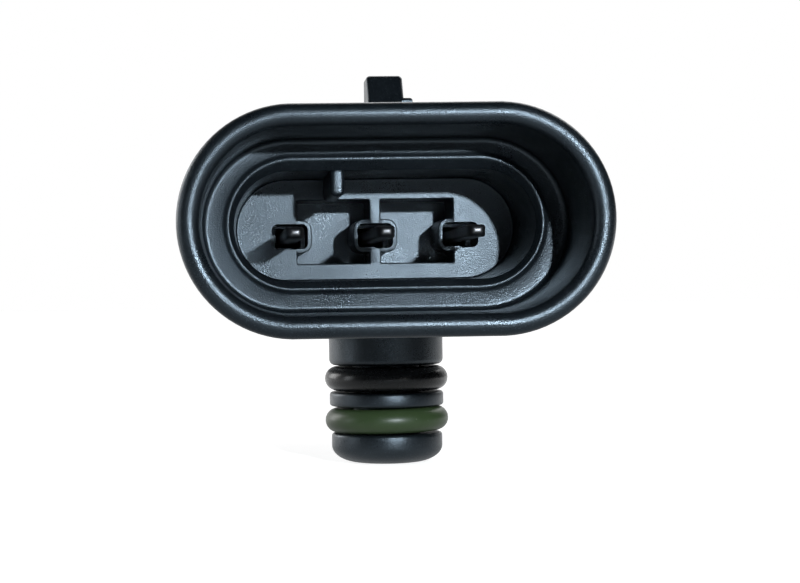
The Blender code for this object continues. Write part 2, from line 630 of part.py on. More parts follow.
def build_board(finish, gasket_finish, solder_finish):
    """Circuit board on its rests and gasket, and the joints under the contact feet."""
    half = CHAMBER_HALF - SEAT_GAP
    board = box("circuit_board", (-half, CHAMBER_FRONT + SEAT_GAP, BOARD_Z),
                (half, CHAMBER_BACK - SEAT_GAP, BOARD_TOP), finish, corner=BODY_CORNER - BODY_WALL)
    combine(board, rod("guide_board_hole", (0.0, SENSE_Y, BOARD_Z - SEAT_GAP),
                       (0.0, SENSE_Y, BOARD_TOP + SEAT_GAP), OUTLET_RADIUS), "DIFFERENCE")
    ring = [(OUTLET_RADIUS + SEAT_GAP, CHAMBER_FLOOR), (OUTLET_RADIUS + GASKET_WALL, CHAMBER_FLOOR),
            (OUTLET_RADIUS + GASKET_WALL, BOARD_Z), (OUTLET_RADIUS + SEAT_GAP, BOARD_Z)]
    turned("board_gasket", ring, gasket_finish, steps=28, centre=(0.0, SENSE_Y), closed=True)
    for label, x in CONTACT_COLUMNS:
        reach = CONTACT_WIDTH / 2 + SOLDER_MARGIN
        box(f"solder_{label}", (x - reach, FOOT_START - SOLDER_MARGIN, BOARD_TOP),
            (x + reach, FOOT_END + SOLDER_MARGIN, BOARD_TOP + SOLDER_THICKNESS), solder_finish,
            corner=SOLDER_MARGIN, steps=3)


def build_sense_stack(glass, silicon, moulding, gel):
    """Pressure die on its drilled glass base, inside a dam filled with gel."""
    half = PEDESTAL_SIDE / 2
    pedestal_top = BOARD_TOP + PEDESTAL_HEIGHT
    pedestal = box("glass_pedestal", (-half, SENSE_Y - half, BOARD_TOP), (half, SENSE_Y + half, pedestal_top),
                   glass)
    combine(pedestal, rod("guide_pedestal_hole", (0.0, SENSE_Y, BOARD_TOP - SEAT_GAP),
                          (0.0, SENSE_Y, pedestal_top + SEAT_GAP), PEDESTAL_HOLE_RADIUS), "DIFFERENCE")
    die_half = DIE_SIDE / 2
    die_top = pedestal_top + DIE_HEIGHT
    box("sense_die", (-die_half, SENSE_Y - die_half, pedestal_top), (die_half, SENSE_Y + die_half, die_top),
        silicon)
    outer = FRAME_SIDE / 2
    inner = outer - FRAME_WALL
    frame_top = BOARD_TOP + FRAME_HEIGHT
    frame = box("gel_frame", (-outer, SENSE_Y - outer, BOARD_TOP), (outer, SENSE_Y + outer, frame_top),
                moulding, corner=FRAME_WALL)
    combine(frame, box("guide_frame", (-inner, SENSE_Y - inner, BOARD_TOP - SEAT_GAP),
                       (inner, SENSE_Y + inner, frame_top + SEAT_GAP)), "DIFFERENCE")
    fill = inner - SEAT_GAP
    gel_top = BOARD_TOP + max(GEL_HEIGHT, PEDESTAL_HEIGHT + DIE_HEIGHT + 2 * SEAT_GAP)
    body = box("protective_gel", (-fill, SENSE_Y - fill, BOARD_TOP), (fill, SENSE_Y + fill, gel_top), gel)
    pocket = half + SEAT_GAP
    combine(body, box("guide_gel", (-pocket, SENSE_Y - pocket, BOARD_TOP - SEAT_GAP),
                      (pocket, SENSE_Y + pocket, die_top + SEAT_GAP)), "DIFFERENCE")


def part_on_board(name, size, x, y, finish, edge):
    """A small component standing on the board."""
    soft_box(name, (x - size[0] / 2, y - size[1] / 2, BOARD_TOP),
             (x + size[0] / 2, y + size[1] / 2, BOARD_TOP + size[2]), finish, edge)


def build_components(chip, ceramic, resistor):
    """Signal chip, filter capacitors and resistors."""
    beside_frame = FRAME_SIDE / 2 + PARTS_TO_FRAME
    part_on_board("signal_chip", CHIP_SIZE, -beside_frame - CHIP_SIZE[0] / 2, SENSE_Y, chip, CHIP_EDGE)
    first_column = beside_frame + CAPACITOR_SIZE[0] / 2
    number = 0
    for row in (-0.5, 0.5):
        for column in (0, 1):
            number += 1
            x = first_column + column * CAPACITOR_SPACING[0]
            y = SENSE_Y + row * CAPACITOR_SPACING[1]
            part_on_board(f"capacitor_{number}", CAPACITOR_SIZE, x, y, ceramic, PART_EDGE)
    row_y = CHAMBER_FRONT + SEAT_GAP + POTTING_THICKNESS + RESISTOR_SIZE[1] * 1.5
    for number, side in ((1, -1), (2, 1)):
        x = side * CONTACT_PITCH / 2
        part_on_board(f"resistor_{number}", RESISTOR_SIZE, x, row_y, resistor, PART_EDGE)


def main():
    """Build every piece."""
    clear_scene()
    plastic = material("glass_filled_plastic", (0.022, 0.024, 0.028), 0.42)
    lid_plastic = material("lid_plastic", (0.020, 0.021, 0.023), 0.5)
    black_rubber = material("black_rubber", (0.014, 0.014, 0.015), 0.45)
    green_rubber = material("green_rubber", (0.075, 0.115, 0.030), 0.5)
    tin = material("tinned_bronze", (0.55, 0.52, 0.47), 0.35, 1.0)
    zinc = material("zinc_plated_steel", (0.62, 0.63, 0.65), 0.32, 1.0)
    epoxy = material("potting_epoxy", (0.03, 0.03, 0.032), 0.3)
    bead = material("lid_adhesive", (0.06, 0.06, 0.065), 0.55)
    fibreglass = material("board_fibreglass", (0.02, 0.11, 0.05), 0.4)
    gasket_rubber = material("gasket_rubber", (0.16, 0.05, 0.03), 0.6)
    glass = material("borosilicate", (0.75, 0.8, 0.8), 0.1)
    silicon = material("silicon", (0.12, 0.13, 0.16), 0.2, 0.6)
    gel = material("silicone_gel", (0.6, 0.62, 0.62), 0.15)
    dam = material("dam_plastic", (0.05, 0.05, 0.055), 0.5)
    chip = material("chip_moulding", (0.018, 0.018, 0.02), 0.55)
    ceramic = material("capacitor_ceramic", (0.42, 0.31, 0.20), 0.5)
    film = material("resistor_film", (0.03, 0.03, 0.04), 0.4)
    solder = material("solder", (0.6, 0.6, 0.58), 0.3, 1.0)

    build_housing(plastic)
    build_ring("upper_o_ring", UPPER_RING_Z, 0.0, black_rubber)
    build_ring("lower_o_ring", LOWER_RING_Z, LOWER_RING_TILT, green_rubber)
    for label, x in CONTACT_COLUMNS:
        build_contact(label, x, tin)
    build_cover(lid_plastic, bead)
    build_limiter(zinc)
    build_potting(epoxy)
    build_board(fibreglass, gasket_rubber, solder)
    build_sense_stack(glass, silicon, dam, gel)
    build_components(chip, ceramic, film)


main()
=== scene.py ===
import json
import math

import bmesh
import bpy
from bpy.props import FloatProperty, FloatVectorProperty, IntProperty, PointerProperty
from mathutils import Euler, Matrix, Vector

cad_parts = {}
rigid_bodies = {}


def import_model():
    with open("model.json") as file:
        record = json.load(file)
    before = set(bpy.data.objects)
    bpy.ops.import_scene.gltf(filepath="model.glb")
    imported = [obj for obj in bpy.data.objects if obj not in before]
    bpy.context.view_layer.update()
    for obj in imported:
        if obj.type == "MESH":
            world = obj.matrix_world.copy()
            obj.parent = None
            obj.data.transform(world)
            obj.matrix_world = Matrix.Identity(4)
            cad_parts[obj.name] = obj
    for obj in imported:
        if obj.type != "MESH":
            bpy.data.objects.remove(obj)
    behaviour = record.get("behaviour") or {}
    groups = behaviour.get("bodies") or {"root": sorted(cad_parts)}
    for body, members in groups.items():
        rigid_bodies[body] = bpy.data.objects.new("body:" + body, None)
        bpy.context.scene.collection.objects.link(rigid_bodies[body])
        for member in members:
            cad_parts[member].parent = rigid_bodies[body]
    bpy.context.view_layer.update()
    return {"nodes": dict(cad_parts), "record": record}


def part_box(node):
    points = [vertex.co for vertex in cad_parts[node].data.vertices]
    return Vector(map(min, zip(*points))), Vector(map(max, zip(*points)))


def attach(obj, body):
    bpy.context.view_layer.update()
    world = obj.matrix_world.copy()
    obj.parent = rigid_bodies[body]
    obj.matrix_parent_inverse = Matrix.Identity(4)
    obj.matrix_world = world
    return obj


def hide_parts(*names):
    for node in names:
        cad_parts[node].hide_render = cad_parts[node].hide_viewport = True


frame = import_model()

bl_info = {
    "name": "Intake pressure sensor",
    "version": (1, 0, 0),
    "blender": (4, 5, 0),
    "location": "3D View > Sidebar > Sensor",
    "description": "Fine shapes, finishes and stage for a pressure sensor with a three-way header",
    "category": "Object",
}

MM = 0.001
BODY = "root"

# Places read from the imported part
HOUSING_LOW, HOUSING_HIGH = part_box("housing")
MIDDLE = (HOUSING_LOW.x + HOUSING_HIGH.x) / 2
RIM_FRONT = HOUSING_LOW.y
NOSE_Z = HOUSING_LOW.z
LIMITER_LOW, LIMITER_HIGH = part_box("compression_limiter")
COVER_LOW, COVER_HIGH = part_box("cover")
BEAD_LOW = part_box("cover_adhesive")[0]
BOARD_LOW, BOARD_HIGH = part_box("circuit_board")
GASKET_LOW, GASKET_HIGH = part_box("board_gasket")
UPPER_RING_LOW, UPPER_RING_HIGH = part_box("upper_o_ring")
LOWER_RING_LOW, LOWER_RING_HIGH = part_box("lower_o_ring")
TERMINALS = {side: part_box(f"terminal_{side}") for side in ("left", "middle", "right")}
EAR_Y = (LIMITER_LOW.y + LIMITER_HIGH.y) / 2
SENSE = (GASKET_LOW + GASKET_HIGH) / 2
SEAT_GAP = 0.3 * MM

# Lengths under the first count as nothing; edges are picked by their place within the second
TINY = 1e-7
HAIR = 1e-6

# Steps round the port and the sleeve, round a ring, and round a ring's cord
TURN_STEPS = 96
RING_STEPS = 120
CORD_STEPS = 24


def length(name, description, millimetres):
    """A size in the panel, given in millimetres and kept in metres."""
    return FloatProperty(name=name, description=description, default=millimetres * MM, min=0.0,
                         precision=5, unit="LENGTH")


def colour(name, description, value):
    """A linear colour in the panel."""
    return FloatVectorProperty(name=name, description=description, default=value, size=3,
                               min=0.0, max=1.0, subtype="COLOR")


class HeaderSizes(bpy.types.PropertyGroup):
    """Shell, rim and collar of the electrical header."""
    rim_height: length("Rim height", "Height of the shell over its rim", 14.4)
    rim_thickness: length("Rim thickness", "From the shell's opening to the rim's outside", 1.4)
    rim_step: length("Rim step", "How far the rim stands out from the shell", 0.4)
    gap_depth: length("Gap depth", "From the rim's front to the floor round the collar", 8.3)
    collar_setback: length("Collar setback", "From the rim's front to the collar's bead", 8.0)
    bead_height: length("Bead height", "How far the bead stands above the ledge beside it", 0.16)
    collar_width: length("Collar width", "Width over the collar's bead", 20.8)
    collar_height: length("Collar height", "Height over the collar's bead", 8.64)
    mouth_lip: length("Mouth lip", "From the bead's outside to the mouth's side", 0.5)
    mouth_height: length("Mouth height", "Height of the collar's mouth", 7.2)
    flare: length("Flare", "How far the bead spreads down to the ledge", 0.2)
    floor_depth: length("Floor depth", "From the rim's front to the contact floor", 16.3)


class PortSizes(bpy.types.PropertyGroup):
    """Spigot that goes into the manifold."""
    radius: length("Radius", "Radius of the spigot at its root and its land", 4.14)
    nose_radius: length("Nose radius", "Radius of the spigot below the lower ring", 4.02)
    groove_radius: length("Groove radius", "Radius at the bottom of the ring grooves", 2.42)
    bore_radius: length("Bore radius", "Radius of the pressure bore", 1.4)
    cord: length("Ring cord", "Thickness of the sealing rings", 1.75)


class FinishColours(bpy.types.PropertyGroup):
    """Colours of the finishes."""
    moulding: colour("Moulding", "Glass-filled plastic of the housing", (0.005, 0.007, 0.009))
    black_ring: colour("Upper ring", "Rubber of the upper ring", (0.012, 0.013, 0.014))
    green_ring: colour("Lower ring", "Rubber of the lower ring", (0.042, 0.070, 0.026))
    contact: colour("Contacts", "Plating of the contacts", (0.17, 0.17, 0.175))


class StageSettings(bpy.types.PropertyGroup):
    """Lamps, surroundings, camera, and how fine the header's round ends are."""
    key_power: FloatProperty(name="Key", description="Power of the small key lamp", default=0.155,
                             min=0.0, unit="POWER")
    ambient: FloatProperty(name="Ambient", description="Strength of the surroundings on the object",
                           default=0.07, min=0.0)
    floor_glow: FloatProperty(name="Floor glow", default=0.86, min=0.0,
                              description="White added where the floor is seen near the object")
    lens: FloatProperty(name="Lens", description="Focal length of the camera in millimetres",
                        default=81.3, min=10.0)
    arc_steps: IntProperty(name="Arc steps", description="Steps in each round end of the header",
                           default=44, min=12)


def settings():
    """The panel's values."""
    return bpy.context.scene.intake_sensor


# Helpers for meshes

def new_object(name, shape):
    """Turn a bmesh into an object whose place is in its mesh."""
    bmesh.ops.recalc_face_normals(shape, faces=shape.faces)
    mesh = bpy.data.meshes.new(name)
    shape.to_mesh(mesh)
    shape.free()
    made = bpy.data.objects.new(name, mesh)
    bpy.context.scene.collection.objects.link(made)
    return made


def finish_piece(piece, node, finish, angle=34.0):
    """Shade a piece, give it its finish and let it stand for a CAD node."""
    piece.data.shade_smooth()
    piece.data.set_sharp_from_angle(angle=math.radians(angle))
    piece.data.materials.clear()
    piece.data.materials.append(finish)
    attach(piece, BODY)
    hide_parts(node)
    return piece


def run_half(size):
    """Half the straight run of an obround of a width and height."""
    return (size[0] - size[1]) / 2


def first_ring(shape, size, y, z, steps):
    """Start an obround: a circle across Y whose two halves are moved apart."""
    segments = 2 * steps
    turn = Matrix.Rotation(math.pi / 2, 4, "X") @ Matrix.Rotation(math.pi / segments, 4, "Z")
    where = Matrix.Translation((MIDDLE, y, z)) @ turn
    made = bmesh.ops.create_circle(shape, cap_ends=False, segments=segments, radius=size[1] / 2,
                                   matrix=where)
    for side in (-1, 1):
        half = [v for v in made["verts"] if (v.co.x - MIDDLE) * side > 0]
        bmesh.ops.translate(shape, verts=half, vec=(side * run_half(size), 0.0, 0.0))
    return list({edge for v in made["verts"] for edge in v.link_edges})


def next_ring(shape, ring, old, new):
    """Extrude an obround ring to its next size, depth and height."""
    made = bmesh.ops.extrude_edge_only(shape, edges=ring)["geom"]
    verts = {item for item in made if isinstance(item, bmesh.types.BMVert)}
    (old_size, old_y, old_z), (new_size, new_y, new_z) = old, new
    scale = new_size[1] / old_size[1]
    for side in (-1, 1):
        half = [v for v in verts if (v.co.x - MIDDLE) * side > 0]
        old_centre = Vector((MIDDLE + side * run_half(old_size), old_y, old_z))
        new_centre = Vector((MIDDLE + side * run_half(new_size), new_y, new_z))
        bmesh.ops.scale(shape, verts=half, vec=(scale, 1.0, scale), space=Matrix.Translation(-old_centre))
        bmesh.ops.translate(shape, verts=half, vec=new_centre - old_centre)
    return [item for item in made if isinstance(item, bmesh.types.BMEdge)
            and item.verts[0] in verts and item.verts[1] in verts]


def bevel(shape, edges, radius, segments):
    """Round some edges."""
    return bmesh.ops.bevel(shape, geom=[e for e in edges if e.is_valid], offset=radius, segments=segments,
                           profile=0.5, affect="EDGES", material=-1, clamp_overlap=True)


def obround_tube(stations, steps):
    """A closed shape from obround stations: (size, y, z, edge radius, edge segments)."""
    shape = bmesh.new()
    rings = [first_ring(shape, stations[0][0], stations[0][1], stations[0][2], steps)]
    for old, new in zip(stations, stations[1:]):
        rings.append(next_ring(shape, rings[-1], old[:3], new[:3]))
    bmesh.ops.contextual_create(shape, geom=rings[0])
    bmesh.ops.contextual_create(shape, geom=rings[-1])
    for ring, station in zip(rings, stations):
        if station[3] > 0.0:
            bevel(shape, ring, station[3], station[4])
    return shape


def span(edge, axis):
    """How far an edge runs along an axis."""
    return abs((edge.verts[0].co - edge.verts[1].co)[axis])


def block(low, high, corner=0.0, corner_axis=2, corner_steps=5, edge=0.0, edge_steps=3, low_end_only=False):
    """A block with its edges along one axis rounded, then the rims of both ends or of the low end."""
    shape = bmesh.new()
    bmesh.ops.create_cube(shape, size=1.0)
    low, high = Vector(low), Vector(high)
    bmesh.ops.scale(shape, vec=high - low, verts=shape.verts)
    bmesh.ops.translate(shape, vec=(low + high) / 2, verts=shape.verts)
    if corner > 0.0:
        along = [e for e in shape.edges if span(e, corner_axis) > TINY]
        bevel(shape, along, corner, corner_steps)
    if edge > 0.0:
        middle = (low + high)[corner_axis] / 2
        rims = [e for e in shape.edges if span(e, corner_axis) < TINY
                and (not low_end_only or e.verts[0].co[corner_axis] < middle)]
        bevel(shape, rims, edge, edge_steps)
    return shape


def turned(profile, steps, centre=(0.0, 0.0), closed=False):
    """Spin (radius, height) points about an upright axis."""
    shape = bmesh.new()
    points = [shape.verts.new((centre[0] + r, centre[1], z)) for r, z in profile]
    pairs = list(zip(points, points[1:]))
    if closed:
        pairs.append((points[-1], points[0]))
    edges = [shape.edges.new(pair) for pair in pairs]
    bmesh.ops.spin(shape, geom=points + edges, cent=(centre[0], centre[1], 0.0), axis=(0.0, 0.0, 1.0),
                   angle=2 * math.pi, steps=steps, use_merge=True)
    bmesh.ops.remove_doubles(shape, verts=shape.verts, dist=TINY)
    return shape


def arc(centre, radii, start, end, steps):
    """Points along part of an ellipse, from one angle to another in degrees."""
    points = []
    for step in range(steps + 1):
        angle = math.radians(start + (end - start) * step / steps)
        points.append((centre[0] + radii[0] * math.cos(angle), centre[1] + radii[1] * math.sin(angle)))
    return points


def rod(start, end, radius, steps=40):
    """A round bar between two points, used as a drill."""
    start, end = Vector(start), Vector(end)
    along = end - start
    shape = bmesh.new()
    turn = along.to_track_quat("Z", "Y").to_matrix().to_4x4()
    bmesh.ops.create_cone(shape, cap_ends=True, segments=steps, radius1=radius, radius2=radius,
                          depth=along.length, matrix=Matrix.Translation((start + end) / 2) @ turn)
    return shape


def extruded_outline(points, axis, distance):
    """A flat outline grown into a plate along one axis."""
    shape = bmesh.new()
    face = shape.faces.new([shape.verts.new(point) for point in points])
    made = bmesh.ops.extrude_face_region(shape, geom=[face])
    moved = [item for item in made["geom"] if isinstance(item, bmesh.types.BMVert)]
    vec = Vector((0.0, 0.0, 0.0))
    vec[axis] = distance
    bmesh.ops.translate(shape, vec=vec, verts=moved)
    return shape


def apply_booleans(piece, stages):
    """Join or cut a piece with groups of helper shapes, keep the result and drop the helpers."""
    groups = []
    for number, (operation, shapes) in enumerate(stages):
        group = bpy.data.collections.new(f"helpers_{number}")
        bpy.context.scene.collection.children.link(group)
        for shape in shapes:
            helper = new_object(f"helper_{number}", shape)
            bpy.context.scene.collection.objects.unlink(helper)
            group.objects.link(helper)
        modifier = piece.modifiers.new(operation.lower(), "BOOLEAN")
        modifier.operation = operation
        modifier.solver = "EXACT"
        modifier.operand_type = "COLLECTION"
        modifier.collection = group
        groups.append(group)
    depsgraph = bpy.context.evaluated_depsgraph_get()
    result = bpy.data.meshes.new_from_object(piece.evaluated_get(depsgraph))
    piece.modifiers.clear()
    old = piece.data
    piece.data = result
    bpy.data.meshes.remove(old)
    for group in groups:
        for helper in list(group.objects):
            mesh = helper.data
            bpy.data.objects.remove(helper, do_unlink=True)
            bpy.data.meshes.remove(mesh)
        bpy.data.collections.remove(group)


def flatten_normals(piece):
    """Let large flat faces keep their own normals beside small rounds."""
    modifier = piece.modifiers.new("flat_faces", "WEIGHTED_NORMAL")
    modifier.weight = 50
    modifier.keep_sharp = True


# The moulding

# Header: heights of its parts, drafts, depths, and the radius and segments of each ring's edge
HEADER_Z = 7.2 * MM
COLLAR_Z = HEADER_Z + 0.1 * MM
MOUTH_Z = HEADER_Z
CREST_INSET = 0.35 * MM
MOUTH_DRAFT = (0.4 * MM, 0.14 * MM)
GAP_DRAFT = 0.3 * MM
LIP_DEPTH = 0.5 * MM
RIM_ROLL = 0.8 * MM
RIM_FLAT = 0.7 * MM
SHELL_TAIL = 1.9 * MM
FLOOR_EDGE = (0.15 * MM, 3)
MOUTH_EDGE = (0.05 * MM, 2)
CREST_EDGE = (0.08 * MM, 3)
RIDGE_EDGE = (0.09 * MM, 3)
LEDGE_EDGE = (0.12 * MM, 3)
GAP_EDGE = (0.40 * MM, 5)
OPENING_EDGE = (0.66 * MM, 8)
RIM_EDGE = (0.70 * MM, 8)
STEP_EDGE = (0.15 * MM, 3)
SHARP = (0.0, 0)

# Wells of the contacts, the tubes round them and the slots behind them
WELL_SIZE = (2.5 * MM, 1.75 * MM)
WELL_WALL = 0.28 * MM
WELL_DEPTH = 4.0 * MM
WELL_CORNER = 0.42 * MM
WELL_FLARE = 0.08 * MM
WELL_SETBACK = 0.05 * MM
WELL_REACH = 0.2 * MM
TUBE_SETBACK = 0.02 * MM
TUBE_EDGE = 0.08 * MM
TUBE_BACK = 0.5 * MM
SLOT_SIZE = (1.8 * MM, 1.4 * MM)
SLOT_SETBACK = 2.0 * MM
CONTACT_HALF = 0.4 * MM

# Core-outs left and right of the middle rib
CORE_Z = COLLAR_Z - 0.25 * MM
CORE_DEPTH = 4.5 * MM
CORE_HALF_HEIGHT = 2.2 * MM
CORE_RIB = 0.8 * MM
CORE_UNDER = 0.5 * MM
CORE_FLARE = 0.12 * MM
CORE_REACH = 0.3 * MM
FLARE_STEPS = 4

# Key rib in the top of the mouth; its corner is given as a share of its width
KEY_OFFSET = -3.1 * MM
KEY_WIDTH = 0.96 * MM
KEY_DROP = 1.7 * MM
KEY_ROUND = 0.42
KEY_EDGE = 0.30 * MM
KEY_SINK = 0.3 * MM
KEY_ROOT = 0.2 * MM

# Latch on the shell and the foot beside it
LATCH_X = MIDDLE + 0.19 * MM
LATCH_WIDTH = 2.4 * MM
LATCH_HEIGHT = 2.74 * MM
LATCH_SETBACK = 7.9 * MM
LATCH_RAMP = 2.0 * MM
LATCH_LEVEL = 1.8 * MM
LATCH_EDGE = 0.26 * MM
LATCH_SINK = 1.0 * MM
SHELL_DROP = 0.4 * MM
FOOT_REACH = 0.55 * MM
FOOT_FRONT = 0.9 * MM
FOOT_BACK = 2.9 * MM
FOOT_HEIGHT = 1.15 * MM
FOOT_EDGE = 0.18 * MM

# Body box, and the rebate for its lid
BODY_SETBACK = 0.95 * MM
BODY_WALL = 2.0 * MM
BACK_WALL = 1.6 * MM
BODY_CORNER = 3.0 * MM
BODY_EDGE = 0.45 * MM
BODY_LIFT = 2.0 * MM
REBATE_LEDGE = 1.2 * MM

# Seat plate, ear and gussets
EAR_THICKNESS = LIMITER_HIGH.z - LIMITER_LOW.z
EAR_RADIUS = 7.5 * MM
EAR_EDGE = 0.35 * MM
PAD_SETBACK = 0.3 * MM
SLEEVE_GAP = SEAT_GAP * 0.4
GUSSET_INSET = 1.6 * MM
GUSSET_WIDTH = 1.4 * MM
GUSSET_LOW = 2.5 * MM
GUSSET_SINK = 0.8 * MM
GUSSET_REACH = 3.0 * MM
GUSSET_RISE = 6.0 * MM
GUSSET_EDGE = 0.2 * MM

# Port and the pressure channel above it
PORT_ROOT = 1.0 * MM
PORT_ROLL = 0.4 * MM
PORT_EDGE = 0.22 * MM
GROOVE_PLAY = 0.1 * MM
NOSE_ROUND = (2.0 * MM, 1.2 * MM)
CHANNEL_RADIUS = 0.9 * MM
SENSE_RADIUS = 1.0 * MM
BORE_PAST_CHANNEL = 0.45 * MM


def header_shape(sizes, steps):
    """Contact floor, collar, gap, shell and rolled rim as one run of obround rings."""
    rim = (HOUSING_HIGH.x - HOUSING_LOW.x, sizes.rim_height)
    opening = tuple(side - 2 * sizes.rim_thickness for side in rim)
    ridge = (sizes.collar_width, sizes.collar_height)
    mouth = (sizes.collar_width - 2 * sizes.mouth_lip, sizes.mouth_height)
    crest = tuple(side - CREST_INSET for side in ridge)
    base = tuple(side + 2 * sizes.flare for side in ridge)
    floor = tuple(side - draft for side, draft in zip(mouth, MOUTH_DRAFT))
    gap_outer = tuple(side - GAP_DRAFT for side in opening)
    shell = tuple(side - 2 * sizes.rim_step for side in rim)
    ridge_y = RIM_FRONT + sizes.collar_setback
    gap_y = RIM_FRONT + sizes.gap_depth
    floor_y = RIM_FRONT + sizes.floor_depth
    rim_back = RIM_FRONT + RIM_ROLL + RIM_FLAT
    stations = [
        (floor, floor_y, MOUTH_Z, *FLOOR_EDGE),
        (mouth, ridge_y + LIP_DEPTH, MOUTH_Z, *MOUTH_EDGE),
        (crest, ridge_y, COLLAR_Z, *CREST_EDGE),
        (ridge, ridge_y, COLLAR_Z, *RIDGE_EDGE),
        (base, ridge_y + sizes.bead_height, COLLAR_Z, *LEDGE_EDGE),
        (gap_outer, gap_y, HEADER_Z, *GAP_EDGE),
        (opening, RIM_FRONT, HEADER_Z, *OPENING_EDGE),
        (rim, RIM_FRONT, HEADER_Z, *RIM_EDGE),
        (rim, rim_back, HEADER_Z, *STEP_EDGE),
        (shell, rim_back + sizes.rim_step, HEADER_Z, *STEP_EDGE),
        (shell, floor_y + SHELL_TAIL, HEADER_Z, *SHARP),
    ]
    return obround_tube(stations, steps)


def port_shape(sizes):
    """Spigot with two ring grooves and a rounded nose."""
    upper = (UPPER_RING_LOW.z + UPPER_RING_HIGH.z) / 2
    lower = (LOWER_RING_LOW.z + LOWER_RING_HIGH.z) / 2
    half = sizes.cord / 2 + GROOVE_PLAY
    edge = PORT_EDGE
    r, nose, groove = sizes.radius, sizes.nose_radius, sizes.groove_radius
    profile = [(0.0, PORT_ROOT), (r, PORT_ROOT)]
    profile += arc((r - PORT_ROLL, upper + half + PORT_ROLL), (PORT_ROLL, PORT_ROLL), 0, -90, 5)
    profile += [(groove, upper + half), (groove, upper - half)]
    profile += arc((r - edge, upper - half - edge), (edge, edge), 90, 0, 4)
    profile += arc((r - edge, lower + half + edge), (edge, edge), 0, -90, 4)
    profile += [(groove, lower + half), (groove, lower - half)]
    profile += arc((nose - edge, lower - half - edge), (edge, edge), 90, 0, 4)
    profile += arc((nose - NOSE_ROUND[0], NOSE_Z + NOSE_ROUND[1]), NOSE_ROUND, 0, -90, 10)
    profile += [(0.0, NOSE_Z)]
    return turned(profile, TURN_STEPS)


def latch_shapes():
    """Lock ramp on the shell, and the small foot beside it."""
    rim_top = 2 * HEADER_Z
    root = rim_top - LATCH_SINK
    surface = rim_top - SHELL_DROP
    top = rim_top + LATCH_HEIGHT
    front = RIM_FRONT + LATCH_SETBACK
    ramp_end = front + LATCH_RAMP
    back = front + LATCH_RAMP + LATCH_LEVEL
    left = LATCH_X - LATCH_WIDTH / 2
    outline = [(left, front, root), (left, front, surface), (left, ramp_end, top), (left, back, top),
               (left, back, root)]
    ramp = extruded_outline(outline, 0, LATCH_WIDTH)
    upper = [e for e in ramp.edges if min(v.co.z for v in e.verts) > surface - HAIR]
    bevel(ramp, upper, LATCH_EDGE, 4)
    foot = block((LATCH_X, front + FOOT_FRONT, root),
                 (LATCH_X + LATCH_WIDTH / 2 + FOOT_REACH, front + FOOT_BACK, rim_top + FOOT_HEIGHT),
                 edge=FOOT_EDGE)
    return [ramp, foot]


def ear_shapes(pad_front, body_back):
    """Seat plate under the body, which ends in the round mounting ear, and its two gussets."""
    outline = [(MIDDLE - EAR_RADIUS, pad_front, 0.0)]
    outline += [(MIDDLE + r, y, 0.0) for r, y in arc((0.0, EAR_Y), (EAR_RADIUS, EAR_RADIUS), 180, 0, 48)]
    outline += [(MIDDLE + EAR_RADIUS, pad_front, 0.0)]
    plate = extruded_outline(outline, 2, EAR_THICKNESS)
    rims = [e for e in plate.edges if span(e, 2) < TINY and max(v.co.y for v in e.verts) > pad_front + HAIR]
    bevel(plate, rims, EAR_EDGE, 3)
    shapes = [plate]
    start = body_back - GUSSET_SINK
    end = body_back + GUSSET_REACH
    top = EAR_THICKNESS + GUSSET_RISE
    for side in (-1, 1):
        inner = MIDDLE + side * (EAR_RADIUS - GUSSET_INSET)
        profile = [(inner, start, GUSSET_LOW), (inner, end, GUSSET_LOW), (inner, end, EAR_THICKNESS),
                   (inner, body_back, top), (inner, start, top)]
        rib = extruded_outline(profile, 0, side * GUSSET_WIDTH)
        ramp = [e for e in rib.edges if min(v.co.z for v in e.verts) > EAR_THICKNESS - HAIR
                and max(v.co.y for v in e.verts) > body_back + HAIR]
        bevel(rib, ramp, GUSSET_EDGE, 3)
        shapes.append(rib)
    return shapes


def extrude_mouth(shape, mouth):
    """Extrude the faces of a cutter's mouth, leave none behind, and give the new faces and vertices."""
    made = bmesh.ops.extrude_face_region(shape, geom=mouth)["geom"]
    bmesh.ops.delete(shape, geom=mouth, context="FACES_ONLY")
    faces = [item for item in made if isinstance(item, bmesh.types.BMFace)]
    verts = [item for item in made if isinstance(item, bmesh.types.BMVert)]
    return faces, verts


def well_mouth(x, z, size, y_front, depth, corner, flare, reach):
    """A pocket cutter with rounded corners, whose mouth is rounded outwards and then runs forward."""
    low = (x - size[0] / 2, y_front, z - size[1] / 2)
    high = (x + size[0] / 2, y_front + depth, z + size[1] / 2)
    shape = block(low, high, corner=corner, corner_axis=1)
    mouth = [f for f in shape.faces if f.normal.y < -0.9]
    out = 0.0
    ahead = 0.0
    for step in range(1, FLARE_STEPS + 1):
        angle = math.radians(90.0 * step / FLARE_STEPS)
        last_out, out = out, flare * (1 - math.cos(angle))
        last_ahead, ahead = ahead, flare * math.sin(angle)
        mouth, verts = extrude_mouth(shape, mouth)
        bmesh.ops.translate(shape, verts=verts, vec=(0.0, last_ahead - ahead, 0.0))
        grow_x, grow_z = ((side / 2 + out) / (side / 2 + last_out) for side in size)
        bmesh.ops.scale(shape, verts=verts, vec=(grow_x, 1.0, grow_z),
                        space=Matrix.Translation((-x, 0.0, -z)))
    verts = extrude_mouth(shape, mouth)[1]
    bmesh.ops.translate(shape, verts=verts, vec=(0.0, -reach, 0.0))
    return shape


def core_shapes(floor_y, outer_reach):
    """Cutters for the core-outs left and right of the middle rib."""
    cores = []
    for side in (-1, 1):
        near, far = sorted((side * CORE_RIB / 2, side * outer_reach))
        cores.append(well_mouth(MIDDLE + (near + far) / 2, CORE_Z, (far - near, 2 * CORE_HALF_HEIGHT),
                                floor_y + CORE_FLARE, CORE_DEPTH, CORE_FLARE, CORE_FLARE, CORE_REACH))
    return cores


